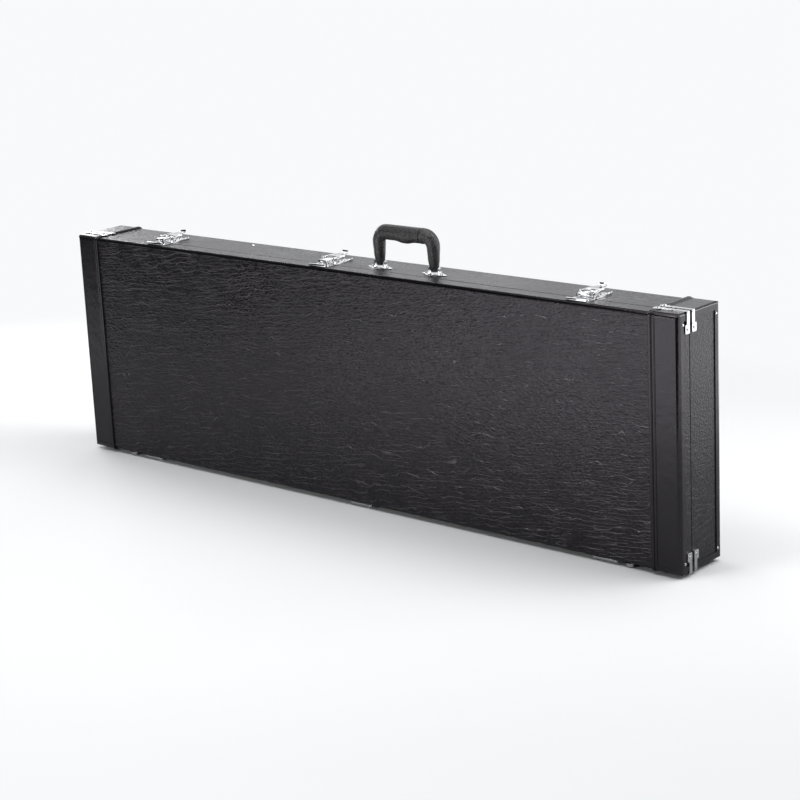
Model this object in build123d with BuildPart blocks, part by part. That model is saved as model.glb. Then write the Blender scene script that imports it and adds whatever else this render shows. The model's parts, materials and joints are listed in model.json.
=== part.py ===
from build123d import *
import math
import os

# A hard bass guitar case that stands on its long hinge side. X runs along the case, Y through its
# thickness with the lid in front at -Y, and Z up. The origin is on the floor under the case's middle.
# All sizes are in millimetres.

os.makedirs("parts", exist_ok=True)

# The closed case, over its covering
case_length = 1245.0
case_height = 381.0
case_depth = 104.0
lid_depth = 28.4  # front face to the middle of the seam
long_radius = 6.0  # edges along the case
upright_radius = 5.0  # upright edges of the ends
end_radius = 2.5  # edges across the ends
seam_gap = 1.0
rim_round = 0.6  # how far the covering's edge rounds into the seam

# Plywood shell, its covering and its end bands
cover_thickness = 1.0
wall_thickness = 7.0
panel_thickness = 5.5
band_width = 50.0
band_thickness = 1.5
band_side_flange = 12.0  # turned onto the end face from the front and from the back
band_top_flange = 10.0  # turned onto the end face from the top and from the bottom
bead_height = 1.8
bead_width = 5.6
bead_inset = 0.6
bead_round = 1.5
rib_height = 0.5  # a low rib beside the bead
rib_width = 3.0
rib_gap = 1.0
rib_round = 0.4
inset_depth = 0.6
inset_margin = 8.0

# Feet
foot_height = 7.0
foot_radius = 7.0
foot_round = 3.5
foot_end_inset = 92.5
lid_foot_setback = 9.0
base_foot_setback = 14.0

# Inside
liner_thickness = 3.0
liner_lip = 8.0  # how far the liner stands into the lid
lip_clearance = 0.6
liner_butt_gap = 0.1  # where two liner boards meet in a corner
back_lining_thickness = 8.0
pad_drop = 3.6  # pads stop this far behind the seam
body_pad = 16.0
body_end_pad = 20.0
body_pocket_length = 482.0
neck_channel = 84.0
neck_length = 470.0
head_pocket_height = 149.0
pad_corner = 24.0
pocket_wall = 6.0
pocket_length = 339.0
pocket_lid_thickness = 3.4
pocket_lid_gap = 0.3
pocket_lid_margin = 2.0
pull_tab_width = 22.0
pull_tab_length = 30.0
pull_tab_thickness = 1.2
neck_rest_width = 40.0
neck_rest_height = 27.0
neck_rest_place = 110.0  # from the body pocket to the rest
neck_rest_dip = 6.0
lid_pad_thickness = 12.0
lid_pad_margin = 9.0

# Sheet metal, rivets and nails
sheet = 1.2
rivet_head_radius = 2.6
rivet_head_height = 1.2
rivet_head_taper = 30.0
rivet_shank_radius = 1.5
nail_radius = 2.2
nail_taper = 35.0
nail_height = 1.0
nail_edge = 15.0
nail_side = 9.5
running_clearance = 0.05

# Latches along the top
latch_left_inset = 188.5
latch_right_inset = 176.5
latch_middle_place = -59.0
latch_width = 36.0
latch_plate_start = 1.3
latch_plate_end = 41.0
latch_rear_rivet_inset = 5.0
latch_pivot_back = 5.5
latch_pivot_height = 7.2
pivot_radius = 1.5
ear_radius = 4.2
ear_gap = 0.5
lever_width = 23.8
lever_flange = 1.3
lever_window_rim = 2.3
lever_window_end = 14.0
lever_plate_end = 30.0
lever_top = 11.0
lever_skirt = 4.4
lever_ear_radius = 3.8
tab_reach = 46.0
tab_rise = 13.5
tab_width = 14.0
bail_pin_back = 6.5
bail_pin_up = 0.8
bail_pin_radius = 1.0
bail_width = 18.0
bail_sheet = 1.4
bail_eye_radius = 2.0
bail_reach = 10.6
curb_height = 4.2
curb_notch = 3.0
curb_notches = 4
keeper_back = 2.0
keeper_front = 22.0
keeper_roll_radius = 2.3
keeper_roll_bore = 1.2
tongue_back = 7.2
tongue_height = 4.0
tongue_hook = 1.2
tongue_hook_height = 1.0
hook_clearance = 0.4

# Handle
handle_place = 91.0
handle_back = 20.6  # seam to the handle's pins
handle_spread = 110.0
handle_height = 71.0
handle_bar = 24.6
handle_bulge = 27.4
handle_thick = 21.5
handle_corner = 16.0
leg_foot_width = 12.4
leg_end_height = 4.4
leg_middle = 19.6
# Along each leg: share of its height, then its width and thickness as shares of leg_middle
leg_profile = (
    (0.0, 0.46, 0.46), (0.04, 0.62, 0.6), (0.22, 0.84, 0.78), (0.55, 0.98, 0.92), (1.0, 1.06, 1.07),
)
corner_turns = (22.5, 45.0, 67.5)
# Along half of the bar: distance from its middle as a share of handle_spread, and share of the bulge
bar_profile = ((0.25, 0.0), (0.16, 0.15), (0.08, 0.7))
handle_pin_height = 8.5
handle_pin_radius = 1.75
handle_pin_head = 2.8
handle_ear_gap = 3.2
handle_ear_radius = 4.0
handle_plate_length = 56.0
handle_plate_width = 27.0
handle_plate_round = 3.0
handle_rivet_place = 17.0
core_thick = 2.0
core_width = 8.0

# Hinges
hinge_left_inset = 145.5
hinge_right_inset = 134.5
hinge_middle_place = 10.0
hinge_width = 44.0
hinge_leaf = 25.4
hinge_knuckles = 5
knuckle_radius = 2.9
knuckle_gap = 0.3
knuckle_clearance = 0.1
hinge_pin_radius = 1.2
hinge_lip = 3.2
hinge_rivet_inset = 7.0

# Corner clamps at the ends of the seam
clamp_seam_gap = 3.0  # between the lid's clamp and the seam's middle
clamp_arm_width = 7.0
clamp_arm_length = 46.0
clamp_leaf_width = 12.0
clamp_leaf_length = 15.0
clamp_bead_gap = 1.0  # from the clamps' leaves to the cut ends of the beads
clamp_neck = 16.0
clamp_tab_width = 11.0
clamp_tab_length = 13.5
clamp_round = 2.0
strap_nail_place = -277.0
strap_nail_inset = 20.0

# Places that follow
x_end = case_length / 2
y_front = -case_depth / 2
y_rear = case_depth / 2
y_seam = y_front + lid_depth
z_bottom = foot_height
z_top = foot_height + case_height
z_middle = (z_bottom + z_top) / 2
rim_lid = y_seam - seam_gap / 2
rim_base = y_seam + seam_gap / 2
wall_skin = cover_thickness + wall_thickness
panel_skin = cover_thickness + panel_thickness
x_inside = x_end - wall_skin
z_floor = z_bottom + wall_skin
z_roof = z_top - wall_skin
y_panel_lid = y_front + panel_skin
y_panel_base = y_rear - panel_skin
x_lined = x_inside - liner_thickness
z_lined_low = z_floor + liner_thickness
z_lined_high = z_roof - liner_thickness
y_lining = y_panel_base - back_lining_thickness
y_pads = y_seam + pad_drop
x_body_high = x_lined - body_end_pad
x_body_low = x_body_high - body_pocket_length
x_neck_low = x_body_low - neck_length
x_pocket_low = x_body_low - pocket_wall - pocket_length
hinge_axis_z = z_bottom - knuckle_radius - knuckle_clearance
latch_places = {
    "left": latch_left_inset - x_end, "mid": latch_middle_place, "right": x_end - latch_right_inset,
}
hinge_places = (hinge_left_inset - x_end, hinge_middle_place, x_end - hinge_right_inset)
clamp_zone = clamp_seam_gap + clamp_leaf_width + clamp_bead_gap
bead_places = (x_end - band_width + bead_inset, x_end - band_width + bead_inset + bead_width)
rib_places = (bead_places[1] + rib_gap, bead_places[1] + rib_gap + rib_width)
all_y = (-case_depth, case_depth)
all_z = (-case_height, 2 * case_height)


def save(piece, label):
    """Name a finished piece and write it."""
    piece.part.label = label
    export_step(piece.part, f"parts/{label}.step")


def middle(span):
    return (span[0] + span[1]) / 2


def length(span):
    return span[1] - span[0]


def spans_box(x_span, y_span, z_span):
    """A loose box between three spans, to join to a piece or to cut from it."""
    box = Box(length(x_span), length(y_span), length(z_span), mode=Mode.PRIVATE)
    return Pos(middle(x_span), middle(y_span), middle(z_span)) * box


def case_form(grow):
    """The closed case as one block, grown by a skin's thickness: three rounded bars that cross."""
    long, tall, deep = (size + 2 * grow for size in (case_length, case_height, case_depth))
    with BuildPart() as form:
        with BuildSketch(Plane.YZ.offset(-long / 2)):
            with Locations((0, z_middle)):
                RectangleRounded(deep, tall, long_radius + grow)
        extrude(amount=long)
        with BuildSketch(Plane.XY.offset(z_bottom - grow)):
            RectangleRounded(long, deep, upright_radius + grow)
        extrude(amount=tall, mode=Mode.INTERSECT)
        with BuildSketch(Plane.XZ.offset(-deep / 2)):
            with Locations((0, z_middle)):
                RectangleRounded(long, tall, end_radius + grow)
        extrude(amount=deep, mode=Mode.INTERSECT)
    return form.part


wood_form = case_form(-cover_thickness)
cover_form = case_form(0)
band_form = case_form(band_thickness)


# Plywood boards and the pads and liner boards inside
def board(label, x_span, y_span, z_span, rounded=False):
    """A flat board or pad. A rounded one takes the case's outer corners."""
    with BuildPart() as piece:
        with BuildSketch(Plane.XY.offset(z_span[0])):
            with Locations((middle(x_span), middle(y_span))):
                Rectangle(length(x_span), length(y_span))
        extrude(amount=length(z_span))
        if rounded:
            add(wood_form, mode=Mode.INTERSECT)
    save(piece, label)


def plywood_half(half, rim_span, panel_span, panel_label):
    """Four walls and the large panel of the lid or of the base."""
    x_wood = x_end - cover_thickness
    board(f"{half}_top_wall", (-x_wood, x_wood), rim_span, (z_roof, z_top - cover_thickness), True)
    board(f"{half}_bottom_wall", (-x_wood, x_wood), rim_span, (z_bottom + cover_thickness, z_floor), True)
    board(f"{half}_end_wall_left", (-x_wood, -x_inside), rim_span, (z_floor, z_roof))
    board(f"{half}_end_wall_right", (x_inside, x_wood), rim_span, (z_floor, z_roof))
    z_panel = (z_bottom + cover_thickness, z_top - cover_thickness)
    board(panel_label, (-x_wood, x_wood), panel_span, z_panel, True)


plywood_half("lid", (y_panel_lid, rim_lid), (y_front + cover_thickness, y_panel_lid), "lid_front_panel")
plywood_half("base", (rim_base, y_panel_base), (y_panel_base, y_rear - cover_thickness), "base_back_panel")


# The vinyl covering over each half
def covering(label, y_span, rim_index):
    with BuildPart() as skin:
        add(cover_form)
        add(wood_form, mode=Mode.SUBTRACT)
        add(spans_box((-case_length, case_length), y_span, all_z), mode=Mode.INTERSECT)
        rim = skin.faces().filter_by(Axis.Y).sort_by(Axis.Y)[rim_index]
        fillet(rim.outer_wire().edges(), min(rim_round, 0.8 * cover_thickness))
    save(skin, label)


covering("lid_cover", (-case_depth, rim_lid), -1)
covering("base_cover", (rim_base, case_depth), 0)


# Smooth bands round both ends of each half
def bead_ring(places, side, height, rounding):
    """A rounded bead right round the case between two places along it."""
    span = sorted((side * places[0], side * places[1]))
    with BuildPart() as ring:
        add(case_form(band_thickness + height))
        add(cover_form, mode=Mode.SUBTRACT)
        add(spans_box(span, all_y, all_z), mode=Mode.INTERSECT)
        across = ring.edges().filter_by(Axis.X, reverse=True)
        fillet([edge for edge in across if not band_form.is_inside(edge.center())], rounding)
        # The clamps lie where the bead stops, either side of the seam
        clamp_y = (y_seam - clamp_zone, y_seam + clamp_zone)
        add(spans_box(span, clamp_y, all_z), mode=Mode.SUBTRACT)
    return ring.part


def end_band(label, side, rings, y_span, big_face):
    """One band: its ring, the flanges on the end face, its beads and an inset on the large face."""
    outward = 1 if big_face > 0 else -1

    def along(low, high):
        return sorted((side * low, side * high))

    with BuildPart() as beads:
        add(rings)
        add(spans_box((-case_length, case_length), y_span, all_z), mode=Mode.INTERSECT)

    with BuildPart() as band:
        add(band_form)
        add(cover_form, mode=Mode.SUBTRACT)
        add(spans_box(along(x_end - band_width, x_end + band_width), y_span, all_z), mode=Mode.INTERSECT)
        add(beads.part)
        # The end face shows between the flanges, up to the seam
        open_y = (y_front + band_side_flange, y_rear - band_side_flange)
        open_z = (z_bottom + band_top_flange, z_top - band_top_flange)
        add(spans_box(along(x_end, x_end + 2 * band_width), open_y, open_z), mode=Mode.SUBTRACT)
        inset_x = along(rib_places[1] + rib_gap, x_end - inset_margin / 2)
        inset_z = (z_bottom + inset_margin, z_top - inset_margin)
        face = big_face + outward * band_thickness
        inset_y = sorted((face, face - outward * inset_depth))
        add(spans_box(inset_x, inset_y, inset_z), mode=Mode.SUBTRACT)
    save(band, label)


for name, side in (("left", -1), ("right", 1)):
    rings = [
        bead_ring(bead_places, side, bead_height, bead_round),
        bead_ring(rib_places, side, rib_height, rib_round),
    ]
    end_band(f"lid_band_{name}", side, rings, (-case_depth, rim_lid), y_front)
    end_band(f"base_band_{name}", side, rings, (rim_base, case_depth), y_rear)


# Four liner boards: the base's inner rim, whose lip stands into the lid
with BuildPart() as liner:
    y_lip = y_seam - liner_lip
    y_deep = (y_lip, y_lining)
    y_thin = (y_lip, rim_base)
    z_between = (z_lined_low + liner_butt_gap, z_lined_high - liner_butt_gap)
    add(spans_box((-x_inside, x_inside), y_deep, (z_lined_high, z_roof)))
    add(spans_box((-x_inside, x_inside), y_deep, (z_floor, z_lined_low)))
    add(spans_box((-x_inside, -x_lined), y_deep, z_between))
    add(spans_box((x_lined, x_inside), y_deep, z_between))
    for lip_z in ((z_roof - lip_clearance, z_top), (z_bottom, z_floor + lip_clearance)):
        add(spans_box((-case_length, case_length), y_thin, lip_z), mode=Mode.SUBTRACT)
    for side in (-1, 1):
        outer = sorted((side * (x_inside - lip_clearance), side * x_end))
        add(spans_box(outer, y_thin, (z_bottom, z_top)), mode=Mode.SUBTRACT)
save(liner, "rim_liner")

# Foam blocks under plush, and the board pocket for strings and leads
z_channel = (z_middle - neck_channel / 2, z_middle + neck_channel / 2)
z_head = (z_middle - head_pocket_height / 2, z_middle + head_pocket_height / 2)
pad_y = (y_pads, y_lining)


def rounded_block(label, x_span, z_span, corner_side):
    """A block beside the neck, with the corner that faces the body pocket rounded off."""
    with BuildPart() as block:
        with BuildSketch(Plane.XZ.offset(-pad_y[1])):
            with Locations((middle(x_span), middle(z_span))):
                Rectangle(length(x_span), length(z_span))
        extrude(amount=length(pad_y))
        corners = block.edges().filter_by(Axis.Y).group_by(Axis.X)[-1].sort_by(Axis.Z)
        fillet(corners[0 if corner_side < 0 else -1], min(pad_corner, length(z_span) / 3))
    save(block, label)


board("back_lining", (-x_inside, x_inside), (y_lining, y_panel_base), (z_floor, z_roof))
board("body_pad_end", (x_body_high, x_lined), pad_y, (z_lined_low, z_lined_high))
board("body_pad_top", (x_body_low, x_body_high), pad_y, (z_lined_high - body_pad, z_lined_high))
board("body_pad_bottom", (x_body_low, x_body_high), pad_y, (z_lined_low, z_lined_low + body_pad))
rounded_block("neck_block_top", (x_neck_low, x_body_low), (z_channel[1], z_lined_high), -1)
board("neck_block_bottom", (x_neck_low, x_pocket_low), pad_y, (z_lined_low, z_channel[0]))
rounded_block("head_block_top", (-x_lined, x_neck_low), (z_head[1], z_lined_high), -1)
rounded_block("head_block_bottom", (-x_lined, x_neck_low), (z_lined_low, z_head[0]), 1)
board("pocket_wall_side", (x_body_low - pocket_wall, x_body_low), pad_y, (z_lined_low, z_channel[0]))
board("pocket_wall_top", (x_pocket_low, x_body_low - pocket_wall), pad_y,
      (z_channel[0] - pocket_wall, z_channel[0]))

with BuildPart() as neck_rest:
    rest_x = x_body_low - neck_rest_place
    with BuildSketch(Plane.YZ.offset(rest_x - neck_rest_width / 2)):
        with Locations((y_lining - neck_rest_height / 2, z_middle)):
            Rectangle(neck_rest_height, neck_channel)
        dip_radius = (neck_channel ** 2 / 4 + neck_rest_dip ** 2) / (2 * neck_rest_dip)
        with Locations((y_lining - neck_rest_height + neck_rest_dip - dip_radius, z_middle)):
            Circle(dip_radius, mode=Mode.SUBTRACT)
    extrude(amount=neck_rest_width)
save(neck_rest, "neck_rest")

pocket_lid_y = (y_pads - pocket_lid_gap - pocket_lid_thickness, y_pads - pocket_lid_gap)
pocket_lid_z = (z_lined_low + pocket_lid_thickness + 2 * pocket_lid_gap,
                z_channel[0] - pocket_lid_margin / 2)
pocket_lid_x = (x_pocket_low - pocket_lid_margin, x_body_low - pocket_lid_margin / 2)
board("pocket_lid", pocket_lid_x, pocket_lid_y, pocket_lid_z)
with BuildPart() as pull_tab:
    tab_top = pocket_lid_z[1] - pocket_lid_margin / 2
    with BuildSketch(Plane.XZ.offset(-pocket_lid_y[0])):
        with Locations((middle(pocket_lid_x), tab_top - pull_tab_length / 2)):
            RectangleRounded(pull_tab_width, pull_tab_length, pull_tab_width / 4)
    extrude(amount=pull_tab_thickness)
save(pull_tab, "pocket_pull_tab")
board("lid_padding", (-x_inside + lid_pad_margin, x_inside - lid_pad_margin),
      (y_panel_lid, y_panel_lid + lid_pad_thickness), (z_floor + lid_pad_margin, z_roof - lid_pad_margin))


# Metal feet on the hinge side
def feet(label, y):
    with BuildPart() as domes:
        with BuildSketch():
            with Locations((foot_end_inset - x_end, y), (x_end - foot_end_inset, y)):
                Circle(foot_radius)
        extrude(amount=foot_height)
        rims = domes.edges().filter_by(GeomType.CIRCLE).group_by(Axis.Z)[0]
        fillet(rims, min(foot_round, foot_height / 2))
    save(domes, label)


feet("lid_feet", y_front + lid_foot_setback)
feet("base_feet", y_rear - base_foot_setback)


# Latches: along Y from the seam and along Z from the top face
def latch_y(back):
    return y_seam + back


def latch_z(up):
    return z_top + up


def side_plane(x):
    """An upright plane across the case, whose sketches hold Y and Z."""
    return Plane.YZ.offset(x)


def both_sides(place, inner, thickness):
    """The low X of two equal plates that stand either side of a place."""
    return (place - inner - thickness, place + inner)


def latch_plate(label, place):
    """The base plate: two ears for the lever's pivots and two notched curbs."""
    pivot = (latch_y(latch_pivot_back), latch_z(latch_pivot_height))
    ear_inner = lever_width / 2 + ear_gap
    with BuildPart() as plate:
        sheet_y = (latch_y(latch_plate_start), latch_y(latch_plate_end))
        half = latch_width / 2
        add(spans_box((place - half, place + half), sheet_y, (z_top, z_top + sheet)))
        for x in both_sides(place, ear_inner, sheet):
            with BuildSketch(side_plane(x)):
                with Locations(pivot):
                    Circle(ear_radius)
                with Locations((pivot[0], z_top + latch_pivot_height / 2)):
                    Rectangle(2 * ear_radius, latch_pivot_height)
                with Locations(pivot):
                    Circle(pivot_radius + running_clearance, mode=Mode.SUBTRACT)
            extrude(amount=sheet)
        curb_y = (latch_y(latch_pivot_back + ear_radius), sheet_y[1])
        for x in both_sides(place, half - sheet, sheet):
            add(spans_box((x, x + sheet), curb_y, (z_top + sheet, z_top + curb_height)))
        step = length(curb_y) / curb_notches
        for n in range(curb_notches):
            notch_middle = curb_y[0] + step * (n + 0.5)
            notch_y = (notch_middle - curb_notch / 2, notch_middle + curb_notch / 2)
            notch_z = (z_top + (sheet + curb_height) / 2, z_top + 2 * curb_height)
            add(spans_box((place - latch_width, place + latch_width), notch_y, notch_z), mode=Mode.SUBTRACT)
        with BuildSketch(Plane.XY.offset(z_top)):
            with Locations(*latch_rivet_places(place)):
                Circle(rivet_shank_radius)
        extrude(amount=sheet, mode=Mode.SUBTRACT)
    save(plate, label)


def latch_rivet_places(place):
    across = bail_width / 2 - rivet_head_radius
    back = latch_y(latch_plate_end / 2)
    rear = latch_y(latch_plate_end - latch_rear_rivet_inset)
    return [(place - across, back), (place + across, back), (place, rear)]


def lever(label, place):
    """The lever: a forked cover plate on two side flanges, its bail pin and a curled finger tab."""
    pivot = (latch_y(latch_pivot_back), latch_z(latch_pivot_height))
    half = lever_width / 2
    with BuildPart() as arm:
        for x in both_sides(place, half - lever_flange, lever_flange):
            with BuildSketch(side_plane(x)):
                with Locations(pivot):
                    Circle(lever_ear_radius)
                skirt_length = lever_plate_end - latch_pivot_back
                with Locations((pivot[0] + skirt_length / 2, latch_z((lever_skirt + lever_top) / 2))):
                    Rectangle(skirt_length, lever_top - lever_skirt)
                with Locations(pivot):
                    Circle(pivot_radius + running_clearance, mode=Mode.SUBTRACT)
            extrude(amount=lever_flange)
        cover_z = (latch_z(lever_top - sheet), latch_z(lever_top))
        cover_y = (latch_y(lever_window_end), latch_y(lever_plate_end))
        add(spans_box((place - half, place + half), cover_y, cover_z))
        for x in both_sides(place, half - lever_window_rim, lever_window_rim):
            add(spans_box((x, x + lever_window_rim), (pivot[0], cover_y[0]), cover_z))
        # The finger tab curls up from the back of the cover plate
        with BuildSketch(side_plane(place - tab_width / 2)):
            low = latch_z(lever_top - sheet)
            high = latch_z(tab_rise)
            root = cover_y[1] - sheet
            tip = latch_y(tab_reach)
            with BuildLine():
                upper = Spline((root, low + sheet), (tip, high), tangents=((1, 0), (0.8, 0.6)))
                lower = Spline((root, low), (tip + 0.6 * sheet, high - 0.8 * sheet),
                               tangents=((1, 0), (0.8, 0.6)))
                Line(upper @ 0, lower @ 0)
                Line(upper @ 1, lower @ 1)
            make_face()
            with Locations((tip, high)):
                Circle(sheet)
        extrude(amount=tab_width)
        with BuildSketch(side_plane(place - half + lever_flange / 2)):
            with Locations((pivot[0] + bail_pin_back, pivot[1] + bail_pin_up)):
                Circle(bail_pin_radius)
        extrude(amount=lever_width - lever_flange)
    save(arm, label)


def bail(label, place):
    """The hook plate that hangs on the lever's pin and reaches over the keeper's tongue."""
    pin_y = latch_y(latch_pivot_back + bail_pin_back)
    pin_z = latch_z(latch_pivot_height + bail_pin_up)
    with BuildPart() as hook:
        with BuildSketch(side_plane(place - bail_width / 2)):
            with Locations((pin_y, pin_z)):
                Circle(bail_eye_radius)
            reach = (latch_y(-bail_reach), pin_y)
            with Locations((middle(reach), pin_z)):
                Rectangle(length(reach), bail_sheet)
            nose = (latch_z(tongue_height + hook_clearance), pin_z)
            with Locations((reach[0] + bail_sheet / 2, middle(nose))):
                Rectangle(bail_sheet, length(nose))
            with Locations((pin_y, pin_z)):
                Circle(bail_pin_radius + running_clearance, mode=Mode.SUBTRACT)
        extrude(amount=bail_width)
    save(hook, label)


def keeper(label, place):
    """The lid's catch plate, with a rolled front edge and an upright tongue."""
    half = latch_width / 2
    with BuildPart() as catch:
        plate_y = (latch_y(-keeper_front), latch_y(-keeper_back))
        add(spans_box((place - half, place + half), plate_y, (z_top, z_top + sheet)))
        with BuildSketch(side_plane(place - half)):
            with Locations((plate_y[0], z_top + keeper_roll_radius)):
                Circle(keeper_roll_radius)
        extrude(amount=latch_width)
        with BuildSketch(side_plane(place - half)):
            with Locations((plate_y[0], z_top + keeper_roll_radius)):
                Circle(keeper_roll_bore)
        extrude(amount=latch_width, mode=Mode.SUBTRACT)
        tongue_y = (latch_y(-tongue_back) - sheet, latch_y(-tongue_back))
        tongue_x = (place - bail_width / 2, place + bail_width / 2)
        add(spans_box(tongue_x, tongue_y, (z_top + sheet, latch_z(tongue_height))))
        hook_y = (tongue_y[0] - tongue_hook, tongue_y[0])
        hook_z = (latch_z(tongue_height - tongue_hook_height), latch_z(tongue_height))
        add(spans_box(tongue_x, hook_y, hook_z))
        with BuildSketch(Plane.XY.offset(z_top)):
            with Locations(*keeper_rivet_places(place)):
                Circle(rivet_shank_radius)
        extrude(amount=sheet, mode=Mode.SUBTRACT)
    save(catch, label)


def keeper_rivet_places(place):
    across = (latch_width + bail_width) / 4
    back = latch_y(-(tongue_back + keeper_front) / 2)
    return [(place - across, back), (place + across, back)]


for name, place in latch_places.items():
    latch_plate(f"latch_plate_{name}", place)
    lever(f"latch_lever_{name}", place)
    bail(f"latch_bail_{name}", place)
    keeper(f"latch_keeper_{name}", place)

with BuildPart() as latch_pins:
    for place in latch_places.values():
        for side in (-1, 1):
            inner = lever_width / 2 - lever_flange
            outer = lever_width / 2 + ear_gap + sheet
            start = place + side * inner
            pivot = (latch_y(latch_pivot_back), latch_z(latch_pivot_height))
            with BuildSketch(side_plane(start)):
                with Locations(pivot):
                    Circle(pivot_radius)
            extrude(amount=side * (outer - inner))
            with BuildSketch(side_plane(place + side * outer)):
                with Locations(pivot):
                    Circle(rivet_head_radius)
            extrude(amount=side * sheet)
save(latch_pins, "latch_pins")

# Handle, carried by two plates on the base's top face
y_handle = latch_y(handle_back)
handle_pin_z = z_top + handle_pin_height
leg_places = (handle_place - handle_spread / 2, handle_place + handle_spread / 2)
handle_ear_inner = leg_foot_width / 2 + handle_ear_gap

with BuildPart() as handle_plates:
    for leg in leg_places:
        with BuildSketch(Plane.XY.offset(z_top)) as diamond:
            with Locations((leg, y_handle)):
                Polygon((-handle_plate_length / 2, 0), (0, -handle_plate_width / 2),
                        (handle_plate_length / 2, 0), (0, handle_plate_width / 2))
            fillet(diamond.vertices(), handle_plate_round)
            with Locations((leg - handle_rivet_place, y_handle), (leg + handle_rivet_place, y_handle)):
                Circle(rivet_shank_radius, mode=Mode.SUBTRACT)
        extrude(amount=sheet)
        for x in both_sides(leg, handle_ear_inner, sheet):
            with BuildSketch(side_plane(x)):
                with Locations((y_handle, z_top + handle_pin_height / 2)):
                    Rectangle(2 * handle_ear_radius, handle_pin_height)
                with Locations((y_handle, handle_pin_z)):
                    Circle(handle_ear_radius)
                    Circle(handle_pin_radius, mode=Mode.SUBTRACT)
            extrude(amount=sheet)
save(handle_plates, "handle_plates")

with BuildPart() as handle_pins:
    for leg in leg_places:
        half = handle_ear_inner + sheet
        with BuildSketch(side_plane(leg - half)):
            with Locations((y_handle, handle_pin_z)):
                Circle(handle_pin_radius)
        extrude(amount=2 * half)
        for side in (-1, 1):
            with BuildSketch(side_plane(leg + side * half)):
                with Locations((y_handle, handle_pin_z)):
                    Circle(handle_pin_head)
            extrude(amount=side * sheet)
save(handle_pins, "handle_pins")

# The core is a flat steel strip bent into a U, from pin to pin inside the grip
bar_axis = handle_height - handle_bar / 2
quarter_turn = 90.0

with BuildPart() as bores:
    for leg in leg_places:
        with BuildSketch(side_plane(leg - leg_foot_width)):
            with Locations((y_handle, handle_pin_z)):
                Circle(handle_pin_radius + running_clearance)
        extrude(amount=2 * leg_foot_width)
pin_bores = bores.part

with BuildPart() as handle_core:
    with BuildSketch(Plane.XZ.offset(-y_handle)):
        for grow, sketch_mode in ((core_thick / 2, Mode.ADD), (-core_thick / 2, Mode.SUBTRACT)):
            with Locations((handle_place, z_top)):
                RectangleRounded(handle_spread + 2 * grow, 2 * (bar_axis + grow), handle_corner + grow,
                                 mode=sketch_mode)
        with Locations((handle_place, z_top + leg_end_height + core_thick + bar_axis)):
            Rectangle(2 * handle_spread, 2 * bar_axis, mode=Mode.INTERSECT)
    extrude(amount=core_width / 2, both=True)
    add(pin_bores, mode=Mode.SUBTRACT)
save(handle_core, "handle_core")


def grip_sections():
    """Half of the grip's sections: along X, up, turn of the path from the leg, and the two sizes."""
    leg_top = bar_axis - handle_corner
    half = handle_spread / 2
    sections = []
    for share, wide, thick in leg_profile:
        up = leg_end_height + share * (leg_top - leg_end_height)
        sections.append((half, up, 0.0, wide * leg_middle, thick * leg_middle))
    leg_width = sections[-1][3]
    for turn in (*corner_turns, quarter_turn):
        angle = math.radians(turn)
        u = half - handle_corner * (1 - math.cos(angle))
        w = leg_top + handle_corner * math.sin(angle)
        tall = leg_width + (handle_bar - leg_width) * turn / quarter_turn
        sections.append((u, w, turn, tall, handle_thick))
    for share, swell in bar_profile:
        extra = swell * (handle_bulge - handle_bar)
        u, w = share * handle_spread, bar_axis - extra / 2
        sections.append((u, w, quarter_turn, handle_bar + extra, handle_thick))
    return sections


with BuildPart() as handle_grip:
    right_side = grip_sections()
    bulge_drop = (handle_bulge - handle_bar) / 2
    centre = [(0, bar_axis - bulge_drop, quarter_turn, handle_bulge, handle_thick)]
    left_side = [(-u, w, 2 * quarter_turn - turn, a, b) for u, w, turn, a, b in reversed(right_side)]
    for u, w, turn, tall, thick in right_side + centre + left_side:
        lean = quarter_turn - turn
        direction = Vector(-math.cos(math.radians(lean)), 0, math.sin(math.radians(lean)))
        place = Plane(origin=(handle_place + u, y_handle, z_top + w), x_dir=(0, 1, 0), z_dir=direction)
        with BuildSketch(place):
            Ellipse(thick / 2, tall / 2)
    loft()
    add(handle_core.part, mode=Mode.SUBTRACT)
    add(pin_bores, mode=Mode.SUBTRACT)
save(handle_grip, "handle_grip")


# Hinges under the seam
def knuckle_spans(place, parity):
    step = hinge_width / hinge_knuckles
    start = place - hinge_width / 2
    spans = []
    for n in range(hinge_knuckles):
        if n % 2 == parity:
            low = start + n * step + (knuckle_gap / 2 if n else 0)
            high = start + (n + 1) * step - (knuckle_gap / 2 if n < hinge_knuckles - 1 else 0)
            spans.append((low, high))
    return spans


def hinge_rivet_places(place, side):
    across = hinge_width / 2 - hinge_rivet_inset
    back = y_seam + side * (hinge_leaf + knuckle_radius) / 2
    return [(place - across, back), (place, back), (place + across, back)]


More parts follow.
